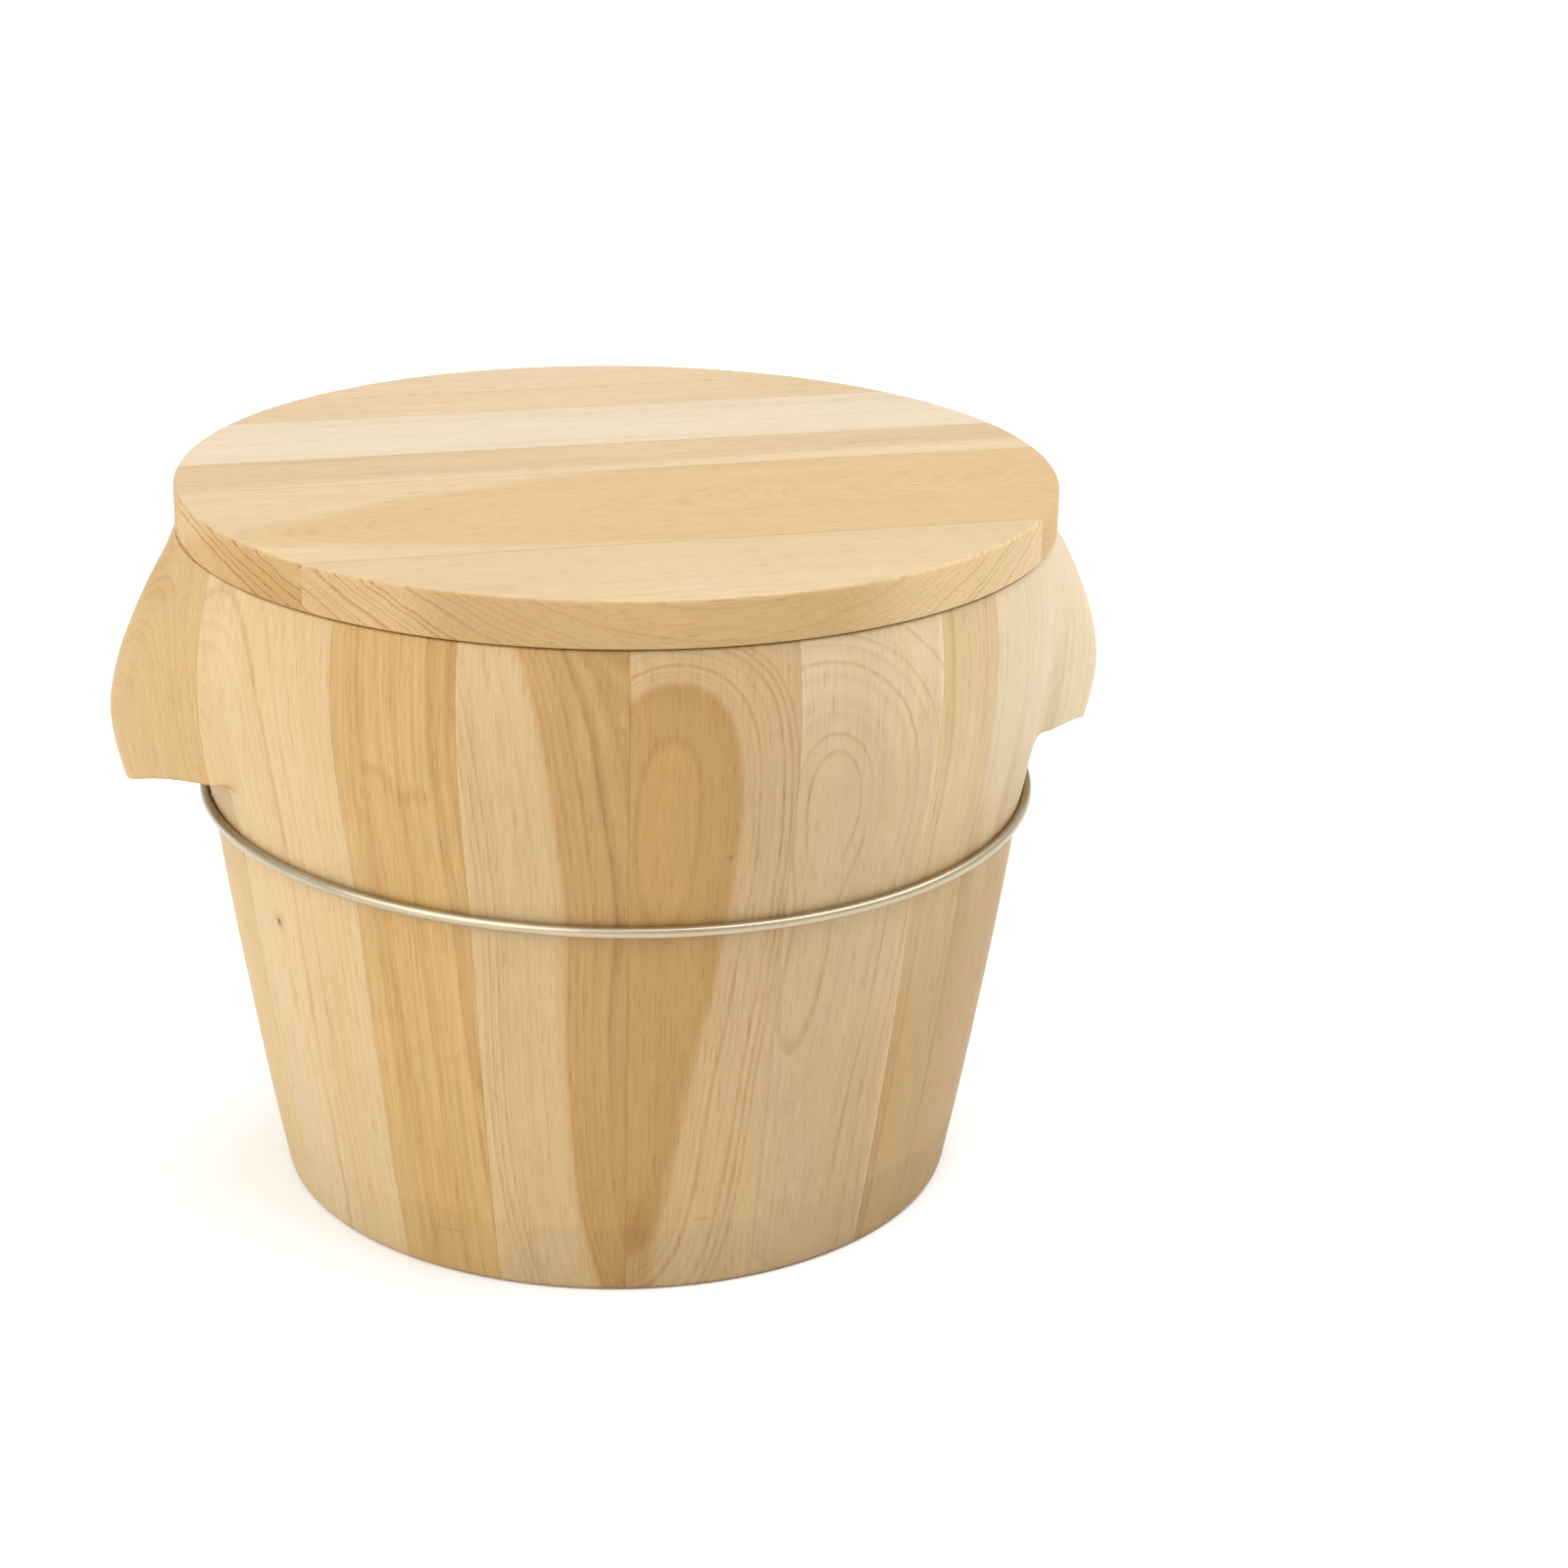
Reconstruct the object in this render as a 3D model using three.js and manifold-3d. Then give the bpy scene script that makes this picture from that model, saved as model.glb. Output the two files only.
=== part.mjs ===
// A stave-built wooden rice steamer: a tapered barrel of sixteen staves held by
// one steel wire hoop, two of the staves carved into ear handles, a round plank
// lid on two battens, and a slatted grate that drops in on a ledge near the foot.
// Millimetres, +Z up. The origin is the centre of the foot, on the surface that
// the barrel stands on. The ears lie on the X axis and the lid planks run along X.
import * as THREE from 'three';
import { mergeVertices } from 'three/addons/utils/BufferGeometryUtils.js';
import Module from 'manifold-3d';

const wasm = await Module();
wasm.setup();
const { Manifold } = wasm;

// ---------------------------------------------------------------- dimensions
const BARREL_H = 249.6;          // height of the staves
const OUTSIDE = [                // outer radius of the barrel, [z, r]
  [0, 126.8], [24, 131.3], [48, 135.5], [72, 139.4], [96, 143.2], [120, 146.7],
  [148, 150.4], [160, 152.6], [184, 157.1], [208, 160.3], [227, 160.7], [240, 159.7], [249.6, 158.2],
];
const FOOT_EASE = 1.5;           // eased edge round the foot
const RIM_EASE = 1.0;            // eased edges round the mouth
const MOUTH_R = 141.4;           // inner radius at the rim
const LEDGE_Z = 24;              // height of the grate's ledge
const WALL_R_AT_LEDGE = 114.0;   // inner radius just above the ledge
const LEDGE_R = 104.5;           // inner edge of the ledge
const FOOT_R = 103.0;            // inner radius at the foot
const SEAM_GAP = 0.1;            // between neighbouring staves

// Carved ears. The line of an ear down its middle is [z, r]. Its thickness falls away to both
// sides with the angle off that middle, and its underside is scooped out behind a hanging lip,
// so that fingers hook behind it.
const EAR_LINE = [
  [150, 178.5], [158, 180.4], [165, 182.1], [172, 183.8], [179, 185.0], [186, 185.4], [193, 184.8], [201, 183.1],
  [209, 180.6], [217, 177.3], [225, 173.6], [233, 169.3], [241, 164.1], [249.6, 159.7],
];
const EAR_FALL = 0.058, EAR_NOSE = 4, EAR_END = 29;   // fall per degree, roundness of the nose, where the ear ends
const LIP_Z = 160, LIP_X = 180.9, LIP_RISE = 12.8, LIP_RUN = 10;   // lowest edge of an ear, and how its underside rises behind it
const LIP_COVE = 8;                                                // hollow where the underside meets the barrel

// Stave joints, in degrees about Z from the front (-Y) towards +X.
const STAVES = [
  ['ear_stave_left', -107, -73], ['flank_stave_front_left', -73, -47.5],
  ['front_stave_1', -47.5, -30.5], ['front_stave_2', -30.5, -10], ['front_stave_3', -10, 10.5],
  ['front_stave_4', 10.5, 31.5], ['front_stave_5', 31.5, 42.5],
  ['flank_stave_front_right', 42.5, 73], ['ear_stave_right', 73, 107], ['flank_stave_back_right', 107, 135],
  ['back_stave_1', 135, 153], ['back_stave_2', 153, 174], ['back_stave_3', 174, 194],
  ['back_stave_4', 194, 213], ['back_stave_5', 213, 226], ['flank_stave_back_left', 226, 253],
];
const PIN_R = 3.0, PIN_LEN = 24, PIN_Z = 110, PIN_RADIUS = 134.5;   // bamboo pins in the stave joints
const PIN_HOLE_R = 3.3, PIN_HOLE_LEN = 24.8;

const WIRE_R = 2.0, HOOP_FREE = 0.4;   // steel wire hoop, and how far it stands off the staves
// Height of the hoop, with the angle a about Z from the front. It was pushed up the taper by hand and sits a little out of level.
const hoopHeight = (a) => 150.2 - 0.29 * Math.sin(a) - 0.97 * Math.cos(a) - 0.5 * Math.cos(2 * a) - 0.75 * Math.sin(2 * a);

const LID_R = 159.4, LID_T = 16.4, RIM_GAP = 0.6;
const LID_Z = BARREL_H + RIM_GAP;
const LID_SEAMS = [LID_R, 91, 35, -1.6, -93.6, -LID_R];   // plank edges along Y, from the back
const PLANK_GAP = 0.1;
const LID_TURN = 2;               // degrees; how far round the loose lid lies from square
const BATTEN_X = 55, BATTEN_W = 26, BATTEN_T = 13, BATTEN_HALF = 119, BATTEN_GAP = 0.3;
const PEG_Y = [106, 63, 17, -47.6, -107];
const PEG_R = 3.0, PEG_HOLE_R = 3.3, PEG_TOP = 259.0;

const SLATS = 7, SLAT_PITCH = 33, SLAT_W = 26.5, SLAT_T = 10, SLAT_R = 113.2;
const BEARER_X = 50, BEARER_W = 18, BEARER_T = 14, BEARER_R = 112.4, HOUSING = 4;
const REST_GAP = 0.3;
const BEARER_Z = LEDGE_Z + REST_GAP;
const SLAT_Z = BEARER_Z + BEARER_T - HOUSING + REST_GAP;

// ------------------------------------------------------------------- finishes
const wood = (hex) => new THREE.MeshStandardMaterial({ color: hex, roughness: 0.62, metalness: 0 });
const WOODS = [0xe6c491, 0xdfb981, 0xd9b077, 0xe3c79a, 0xcfa263, 0xddc197, 0xe0b97c, 0xe8cc9f];
const LID_WOODS = [0xe3c190, 0xecd6b0, 0xe2c08d, 0xdfb67a, 0xe7c898];
const STEEL = new THREE.MeshStandardMaterial({ color: 0xb9b4a8, roughness: 0.32, metalness: 1 });
const BAMBOO = new THREE.MeshStandardMaterial({ color: 0xcfae6a, roughness: 0.55, metalness: 0 });
const GRATE_WOOD = wood(0xdcb885);

// -------------------------------------------------------------------- helpers
const rad = THREE.MathUtils.degToRad;

// Smooth curve through a table of [x, y], with the slopes of a Catmull-Rom spline.
function along(table, x) {
  const n = table.length;
  if (x <= table[0][0]) return table[0][1];
  if (x >= table[n - 1][0]) return table[n - 1][1];
  let i = 0;
  while (x > table[i + 1][0]) i++;
  const slope = (k) => {
    const a = table[Math.max(k - 1, 0)], b = table[Math.min(k + 1, n - 1)];
    return (b[1] - a[1]) / (b[0] - a[0]);
  };
  const [x0, y0] = table[i], [x1, y1] = table[i + 1], h = x1 - x0, s = (x - x0) / h;
  return y0 * (1 + 2 * s) * (1 - s) ** 2 + slope(i) * h * s * (1 - s) ** 2
    + y1 * s * s * (3 - 2 * s) + slope(i + 1) * h * s * s * (s - 1);
}

const offEar = (theta) => Math.min(Math.abs(theta - 90), Math.abs(theta + 90), Math.abs(theta - 270));

// How much of the ear's thickness is left at an angle off its middle, 1 to 0.
function earShare(off) {
  if (off >= EAR_END) return 0;
  const w = 1 - EAR_FALL * (Math.hypot(off, EAR_NOSE) - EAR_NOSE);
  return (w + Math.hypot(w, 0.1)) / 2 * (1 - THREE.MathUtils.smoothstep(off, 21, EAR_END));
}

function outerRadius(theta, z) {
  const base = along(OUTSIDE, z);
  return base + (along(EAR_LINE, z) - base) * earShare(offEar(theta));
}

// Height of an ear's underside at x from the middle plane of the barrel.
const under = (x) => LIP_Z + LIP_RISE * (1 - Math.exp((x - LIP_X) / LIP_RUN));

// The underside of an ear at one angle: its outer and inner corner as [r, z].
function lip(theta) {
  const c = Math.cos(rad(offEar(theta)));
  const meet = (radius) => {
    let z = 165;
    for (let k = 0; k < 60; k++) z = under(radius(z) * c);
    return [radius(z), z];
  };
  return [meet((z) => outerRadius(theta, z)), meet((z) => along(OUTSIDE, z))];
}

function solidOf(geometry) {
  const g = geometry.clone();
  for (const name of Object.keys(g.attributes)) if (name !== 'position') g.deleteAttribute(name);
  const m = mergeVertices(g, 1e-4);
  return new Manifold(new wasm.Mesh({
    numProp: 3,
    vertProperties: new Float32Array(m.attributes.position.array),
    triVerts: new Uint32Array(m.index.array),
  }));
}

function geometryOf(solid) {
  const m = solid.getMesh();
  const positions = new Float32Array(m.numVert * 3);
  for (let i = 0; i < m.numVert; i++) positions.set(m.vertProperties.subarray(i * m.numProp, i * m.numProp + 3), i * 3);
  const g = new THREE.BufferGeometry();
  g.setAttribute('position', new THREE.BufferAttribute(positions, 3));
  g.setIndex(new THREE.BufferAttribute(new Uint32Array(m.triVerts), 1));
  g.computeVertexNormals();
  return g;
}

const cut = (geometry, tools) =>
  geometryOf(tools.reduce((solid, tool) => solid.subtract(solidOf(tool)), solidOf(geometry)));

const root = new THREE.Group();
root.name = 'wooden_rice_steamer';
function add(name, geometry, material, parent = root) {
  const mesh = new THREE.Mesh(geometry, material);
  mesh.name = name;
  parent.add(mesh);
  return mesh;
}

// --------------------------------------------------------------------- staves
// One stave is its radial section, swept about Z from one joint to the next.
function staveGeometry(from, to, carved) {
  const half = THREE.MathUtils.radToDeg(SEAM_GAP / 2 / 140);
  const t0 = from + half, t1 = to - half;
  const steps = Math.max(3, Math.ceil((t1 - t0) / (carved ? 3.1 : 4.6)));
  const section = (theta) => {
    const out = [[along(OUTSIDE, 0) - FOOT_EASE, 0], [along(OUTSIDE, FOOT_EASE), FOOT_EASE]];
    for (const z of [24, 60, 95, 125, 146]) out.push([along(OUTSIDE, z), z]);
    if (carved) {
      const [tip, heel] = lip(theta);
      const reach = Math.hypot(tip[0] - heel[0], tip[1] - heel[1]);
      if (reach > 1.5) {
        const f = Math.min(LIP_COVE, reach * 0.45), c = Math.cos(rad(offEar(theta)));
        const start = [along(OUTSIDE, heel[1] - f), heel[1] - f];
        const end = [heel[0] + f, under((heel[0] + f) * c)];
        for (const t of [0, 0.3, 0.65, 1]) {
          out.push([0, 1].map((k) => start[k] * (1 - t) ** 2 + 2 * heel[k] * t * (1 - t) + end[k] * t * t));
        }
        for (const t of [0.45, 0.8]) {
          const r = end[0] + (tip[0] - end[0]) * t;
          out.push([r, under(r * c)]);
        }
        out.push(tip);
      } else {
        for (const d of [-9, -7.5, -6, -4.5, -3, -1.5, 0]) out.push([outerRadius(theta, heel[1] + d), heel[1] + d]);
      }
      const low = out[out.length - 1][1];
      for (let k = 1; k <= 10; k++) { const z = low + (243 - low) * k / 10; out.push([outerRadius(theta, z), z]); }
    } else {
      for (const z of [166, 184, 200, 214, 227, 239]) out.push([outerRadius(theta, z), z]);
    }
    const rim = outerRadius(theta, BARREL_H);
    out.push([rim + 0.1, BARREL_H - RIM_EASE], [rim - RIM_EASE, BARREL_H]);
    out.push([MOUTH_R + RIM_EASE, BARREL_H], [MOUTH_R, BARREL_H - RIM_EASE]);
    out.push([WALL_R_AT_LEDGE, LEDGE_Z], [LEDGE_R, LEDGE_Z], [FOOT_R, 0]);
    return out;
  };
  const positions = [], index = [];
  let n = 0;
  for (let i = 0; i <= steps; i++) {
    const theta = t0 + (t1 - t0) * i / steps, s = Math.sin(rad(theta)), c = -Math.cos(rad(theta));
    const loop = section(theta);
    n = loop.length;
    for (const [r, z] of loop) positions.push(r * s, r * c, z);
  }
  for (let i = 0; i < steps; i++) {
    for (let j = 0; j < n; j++) {
      const a = i * n + j, b = i * n + (j + 1) % n;
      index.push(a, a + n, b, b, a + n, b + n);
    }
  }
  const flat = (theta) => section(theta).map(([r, z]) => new THREE.Vector2(r, z));
  for (const [a, b, c] of THREE.ShapeUtils.triangulateShape(flat(t0), [])) index.push(a, b, c);
  const last = steps * n;
  for (const [a, b, c] of THREE.ShapeUtils.triangulateShape(flat(t1), [])) index.push(last + a, last + c, last + b);
  const g = new THREE.BufferGeometry();
  g.setAttribute('position', new THREE.Float32BufferAttribute(positions, 3));
  g.setIndex(index);
  return g;
}

// A cylinder lying across a stave joint, along the tangent there.
function acrossJoint(theta, r, length, sides) {
  const g = new THREE.CylinderGeometry(r, r, length, sides);
  g.rotateZ(rad(theta) + Math.PI / 2);
  g.translate(PIN_RADIUS * Math.sin(rad(theta)), -PIN_RADIUS * Math.cos(rad(theta)), PIN_Z);
  return g;
}

STAVES.forEach(([name, from, to], i) => {
  const carved = name.startsWith('ear') || name.startsWith('flank');
  const holes = [from, to].map((theta) => acrossJoint(theta, PIN_HOLE_R, PIN_HOLE_LEN, 10));
  add(name, cut(staveGeometry(from, to, carved), holes), wood(WOODS[(i * 3) % WOODS.length]));
  add('joint_pin_' + String(i + 1).padStart(2, '0'), acrossJoint(to, PIN_R, PIN_LEN, 10), BAMBOO);
});

// ----------------------------------------------------------------------- hoop
function hoopGeometry(around, sides) {
  const positions = [], index = [];
  for (let i = 0; i < around; i++) {
    const a = 2 * Math.PI * i / around, z = hoopHeight(a), r = along(OUTSIDE, z) + WIRE_R + HOOP_FREE;
    for (let j = 0; j < sides; j++) {
      const b = 2 * Math.PI * j / sides, q = r + WIRE_R * Math.cos(b);
      positions.push(q * Math.sin(a), -q * Math.cos(a), z + WIRE_R * Math.sin(b));
    }
    for (let j = 0; j < sides; j++) {
      const k = (j + 1) % sides, next = (i + 1) % around * sides;
      index.push(i * sides + j, next + j, i * sides + k, i * sides + k, next + j, next + k);
    }
  }
  const g = new THREE.BufferGeometry();
  g.setAttribute('position', new THREE.Float32BufferAttribute(positions, 3));
  g.setIndex(index);
  g.computeVertexNormals();
  return g;
}
add('wire_hoop', hoopGeometry(90, 8), STEEL);

// ------------------------------------------------------------------------ lid
// A strip of a disc of radius r between two lines y0 < y1, as a closed outline.
function discStrip(r, y0, y1, x0 = -Infinity, x1 = Infinity) {
  const points = [];
  const arc = (a, b) => {
    const k = Math.max(2, Math.ceil(Math.abs(b - a) / rad(5)));
    for (let i = 0; i <= k; i++) points.push(new THREE.Vector2(r * Math.cos(a + (b - a) * i / k), r * Math.sin(a + (b - a) * i / k)));
  };
  const clampAsin = (v) => Math.asin(THREE.MathUtils.clamp(v, -1, 1));
  const aLow = clampAsin(y0 / r), aHigh = clampAsin(y1 / r);
  arc(aLow, aHigh);
  arc(Math.PI - aHigh, Math.PI - aLow);
  const kept = points.map((p) => new THREE.Vector2(THREE.MathUtils.clamp(p.x, x0, x1), p.y));
  return kept.filter((p, i) => p.distanceTo(kept[(i + 1) % kept.length]) > 0.05);
}
const extrude = (outline, depth, z) => {
  const g = new THREE.ExtrudeGeometry(new THREE.Shape(outline), { depth, bevelEnabled: false });
  g.translate(0, 0, z);
  return g;
};
const upright = (x, y, r, z0, z1, sides) => {
  const g = new THREE.CylinderGeometry(r, r, z1 - z0, sides);
  g.rotateX(Math.PI / 2);
  g.translate(x, y, (z0 + z1) / 2);
  return g;
};
const turned = (g) => g.rotateZ(rad(LID_TURN));
const battenLow = LID_Z - BATTEN_GAP - BATTEN_T;

for (let i = 0; i < LID_SEAMS.length - 1; i++) {
  const y1 = LID_SEAMS[i] - (i ? PLANK_GAP / 2 : 0), y0 = LID_SEAMS[i + 1] + (i < LID_SEAMS.length - 2 ? PLANK_GAP / 2 : 0);
  const holes = [-BATTEN_X, BATTEN_X].map((x) => upright(x, PEG_Y[i], PEG_HOLE_R, LID_Z - 1, PEG_TOP + 0.3, 10));
  add('lid_plank_' + (i + 1), turned(cut(extrude(discStrip(LID_R, y0, y1), LID_T, LID_Z), holes)), wood(LID_WOODS[i]));
}
for (const [side, x] of [['left', -BATTEN_X], ['right', BATTEN_X]]) {
  const bar = new THREE.BoxGeometry(BATTEN_W, 2 * BATTEN_HALF, BATTEN_T);
  bar.translate(x, 0, battenLow + BATTEN_T / 2);
  const holes = PEG_Y.map((y) => upright(x, y, PEG_HOLE_R, battenLow - 1, LID_Z, 10));
  add('lid_batten_' + side, turned(cut(bar, holes)), wood(0xddb983));
  PEG_Y.forEach((y, i) => {
    add('batten_peg_' + side + '_' + (i + 1), turned(upright(x, y, PEG_R, battenLow + 0.2, PEG_TOP, 10)), BAMBOO);
  });
}

// ---------------------------------------------------------------------- grate
const slatY = (i) => (i - (SLATS - 1) / 2) * SLAT_PITCH;
for (let i = 0; i < SLATS; i++) {
  const y0 = slatY(i) - SLAT_W / 2, y1 = Math.min(slatY(i) + SLAT_W / 2, SLAT_R);
  add('grate_slat_' + (i + 1), extrude(discStrip(SLAT_R, Math.max(y0, -SLAT_R), y1), SLAT_T, SLAT_Z), GRATE_WOOD);
}
for (const [side, x] of [['left', -BEARER_X], ['right', BEARER_X]]) {
  const outline = discStrip(BEARER_R, x - BEARER_W / 2, x + BEARER_W / 2).map((p) => new THREE.Vector2(p.y, -p.x));
  const housings = [];
  for (let i = 0; i < SLATS; i++) {
    const box = new THREE.BoxGeometry(BEARER_W + 4, SLAT_W + 2 * REST_GAP + (i % (SLATS - 1) ? 0 : 20), HOUSING + 2);
    const reach = i === 0 ? -10 : i === SLATS - 1 ? 10 : 0;
    box.translate(x, slatY(i) + reach, BEARER_Z + BEARER_T - HOUSING + (HOUSING + 2) / 2);
    housings.push(box);
  }
  add('grate_bearer_' + side, cut(extrude(outline, BEARER_T, BEARER_Z), housings), GRATE_WOOD);
}

export default root;
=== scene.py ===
# A stave-built wooden rice steamer: bare pale wood worked smooth, one bright wire hoop.
# Metres in Blender. The tables below are in millimetres, in the same frame as the part.
import math

import bmesh
import bpy
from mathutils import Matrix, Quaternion, Vector


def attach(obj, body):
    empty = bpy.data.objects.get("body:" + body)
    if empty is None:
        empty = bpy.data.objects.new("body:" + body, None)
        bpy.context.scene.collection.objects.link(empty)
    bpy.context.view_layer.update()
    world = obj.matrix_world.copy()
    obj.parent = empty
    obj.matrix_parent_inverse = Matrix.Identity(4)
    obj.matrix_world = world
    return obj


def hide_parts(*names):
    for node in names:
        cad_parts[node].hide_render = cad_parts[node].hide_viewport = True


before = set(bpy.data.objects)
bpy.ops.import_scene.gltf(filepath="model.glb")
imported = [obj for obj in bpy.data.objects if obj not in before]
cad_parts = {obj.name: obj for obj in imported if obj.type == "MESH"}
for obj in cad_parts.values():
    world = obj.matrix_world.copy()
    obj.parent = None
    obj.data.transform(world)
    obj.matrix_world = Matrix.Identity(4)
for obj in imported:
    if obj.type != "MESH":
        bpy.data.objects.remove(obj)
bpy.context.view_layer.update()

# ------------------------------------------------------------------ dimensions
BARREL_H = 249.6
OUTSIDE = [(0, 126.8), (24, 131.3), (48, 135.5), (72, 139.4), (96, 143.2), (120, 146.7), (148, 150.4),
           (160, 152.6), (184, 157.1), (208, 160.3), (227, 160.7), (240, 159.7), (249.6, 158.2)]
MOUTH_R, LEDGE_Z, WALL_R_AT_LEDGE, LEDGE_R, FOOT_R = 141.4, 24.0, 114.0, 104.5, 103.0
EAR_LINE = [(150, 178.5), (158, 180.4), (165, 182.1), (172, 183.8), (179, 185.0), (186, 185.4), (193, 184.8),
            (201, 183.1), (209, 180.6), (217, 177.3), (225, 173.6), (233, 169.3), (241, 164.1), (249.6, 159.7)]
EAR_FALL, EAR_NOSE, EAR_END = 0.058, 4.0, 29.0
LIP_Z, LIP_X, LIP_RISE, LIP_RUN, LIP_COVE = 160.0, 180.9, 12.8, 10.0, 8.0
STAVES = [
    ("ear_stave_left", -107, -73), ("flank_stave_front_left", -73, -47.5), ("front_stave_1", -47.5, -30.5),
    ("front_stave_2", -30.5, -10), ("front_stave_3", -10, 10.5), ("front_stave_4", 10.5, 31.5),
    ("front_stave_5", 31.5, 42.5), ("flank_stave_front_right", 42.5, 73), ("ear_stave_right", 73, 107),
    ("flank_stave_back_right", 107, 135), ("back_stave_1", 135, 153), ("back_stave_2", 153, 174),
    ("back_stave_3", 174, 194), ("back_stave_4", 194, 213), ("back_stave_5", 213, 226),
    ("flank_stave_back_left", 226, 253)]
WIRE_R, HOOP_FREE = 2.0, 0.05
LID_R, LID_T, LID_Z, LID_TURN = 159.4, 16.4, 250.2, 2.0
LID_SEAMS = [LID_R, 91, 35, -1.6, -93.6, -LID_R]
BATTEN_X, BATTEN_W, BATTEN_T, BATTEN_HALF = 55.0, 26.0, 13.0, 119.0
PEG_Y = [106, 63, 17, -47.6, -107]
SLATS, SLAT_PITCH, SLAT_W, SLAT_T, SLAT_R, SLAT_Z = 7, 33.0, 26.5, 10.0, 113.2, 34.6
BEARER_X, BEARER_W, BEARER_T, BEARER_R, BEARER_Z, HOUSING = 50.0, 18.0, 14.0, 112.4, 24.3, 4.0


def along(table, x):
    """Smooth curve through a table of (x, y), with the slopes of a Catmull-Rom spline."""
    n = len(table)
    if x <= table[0][0]:
        return table[0][1]
    if x >= table[-1][0]:
        return table[-1][1]
    i = 0
    while x > table[i + 1][0]:
        i += 1

    def slope(k):
        a, b = table[max(k - 1, 0)], table[min(k + 1, n - 1)]
        return (b[1] - a[1]) / (b[0] - a[0])
    (x0, y0), (x1, y1) = table[i], table[i + 1]
    h = x1 - x0
    s = (x - x0) / h
    return (y0 * (1 + 2 * s) * (1 - s) ** 2 + slope(i) * h * s * (1 - s) ** 2
            + y1 * s * s * (3 - 2 * s) + slope(i + 1) * h * s * s * (s - 1))


def smoothstep(a, b, x):
    t = min(max((x - a) / (b - a), 0.0), 1.0)
    return t * t * (3 - 2 * t)


def lerp(a, b, t):
    return a + (b - a) * t


# ---------------------------------------------------------------------- meshes
def piece(name, verts, faces, body, nodes, slot, material, sharp=32.0):
    """A new piece from millimetre points, shaded smooth with its real edges kept sharp."""
    mesh = bpy.data.meshes.new(name)
    if body == "lid":                                    # the loose lid lies a little turned on the rim
        c, s = math.cos(math.radians(LID_TURN)), math.sin(math.radians(LID_TURN))
        verts = [(c * x - s * y, s * x + c * y, z) for x, y, z in verts]
    mesh.from_pydata([(x * 0.001, y * 0.001, z * 0.001) for x, y, z in verts], [], faces)
    bm = bmesh.new()
    bm.from_mesh(mesh)
    bmesh.ops.recalc_face_normals(bm, faces=bm.faces)
    limit = math.radians(sharp)
    for f in bm.faces:
        f.smooth = True
    for e in bm.edges:
        e.smooth = len(e.link_faces) == 2 and e.calc_face_angle(0.0) < limit
    bm.to_mesh(mesh)
    bm.free()
    ob = bpy.data.objects.new(name, mesh)
    bpy.context.scene.collection.objects.link(ob)
    mesh.materials.append(material)
    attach(ob, body)
    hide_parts(*nodes)
    return ob


def sweep(columns, closed=False):
    """Points and faces of a skin through closed loops of equal length, with its two ends capped."""
    n = len(columns[0])
    verts = [p for c in columns for p in c]
    faces = []
    for i in range(len(columns) - (0 if closed else 1)):
        a, b = i * n, (i + 1) % len(columns) * n
        for j in range(n):
            k = (j + 1) % n
            faces.append((a + j, b + j, b + k, a + k))
    if not closed:
        last = (len(columns) - 1) * n
        faces.append(tuple(range(n)))
        faces.append(tuple(range(last + n - 1, last - 1, -1)))
    return verts, faces


# ---------------------------------------------------------------------- staves
def off_ear(theta):
    return min(abs(theta - 90), abs(theta + 90), abs(theta - 270))


def ear_share(off):
    if off >= EAR_END:
        return 0.0
    w = 1 - EAR_FALL * (math.hypot(off, EAR_NOSE) - EAR_NOSE)
    return (w + math.hypot(w, 0.1)) / 2 * (1 - smoothstep(21, EAR_END, off))


def outer(theta, z):
    base = along(OUTSIDE, z)
    share = ear_share(off_ear(theta))
    return base + (along(EAR_LINE, z) - base) * share if share else base


def under(x):
    """Height of an ear's scooped underside at x from the middle plane of the barrel."""
    return LIP_Z + LIP_RISE * (1 - math.exp((x - LIP_X) / LIP_RUN))


def lip(theta):
    c = math.cos(math.radians(off_ear(theta)))

    def meet(radius):
        z = 165.0
        for _ in range(60):
            z = under(radius(z) * c)
        return radius(z), z
    return meet(lambda z: outer(theta, z)), meet(lambda z: along(OUTSIDE, z))


def bend(a, b, c, t):
    return tuple(a[k] * (1 - t) ** 2 + 2 * b[k] * t * (1 - t) + c[k] * t * t for k in (0, 1))


def ear_rows(theta, rows_up):
    """Outside of a carved stave from above the hoop to below the rim: cove, underside, eased lip, face."""
    tip, heel = lip(theta)
    reach = math.dist(tip, heel)

    def swell(z):                                        # where the lip runs out, only a soft swelling is left of it
        base = along(OUTSIDE, z)
        return base + (outer(theta, z) - base) * smoothstep(heel[1] - 3.5, heel[1] + 4.5, z)
    plain = [(swell(z), z) for z in (heel[1] - 7 + 14 * k / 22 for k in range(23))]
    if reach < 0.4:
        rows = plain
    else:
        f = min(LIP_COVE, reach * 0.45)
        e = min(1.6, reach * 0.25)
        c = math.cos(math.radians(off_ear(theta)))
        start = (along(OUTSIDE, heel[1] - f), heel[1] - f)
        end = (heel[0] + f, under((heel[0] + f) * c))
        back = (tip[0] - e, under((tip[0] - e) * c))
        up = (outer(theta, tip[1] + e), tip[1] + e)
        rows = [bend(start, heel, end, k / 8) for k in range(9)]
        rows += [(r, under(r * c)) for r in (lerp(end[0], back[0], k / 7) for k in range(1, 8))]
        rows += [bend(back, tip, up, k / 7) for k in range(1, 8)]
        s = smoothstep(0.4, 6.5, reach)
        rows = [tuple(lerp(p[i], q[i], s) for i in (0, 1)) for p, q in zip(plain, rows)]
    top = rows[-1][1]
    rows += [(outer(theta, lerp(top, 246.5, k / rows_up)), lerp(top, 246.5, k / rows_up)) for k in range(1, rows_up + 1)]
    return rows


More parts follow.
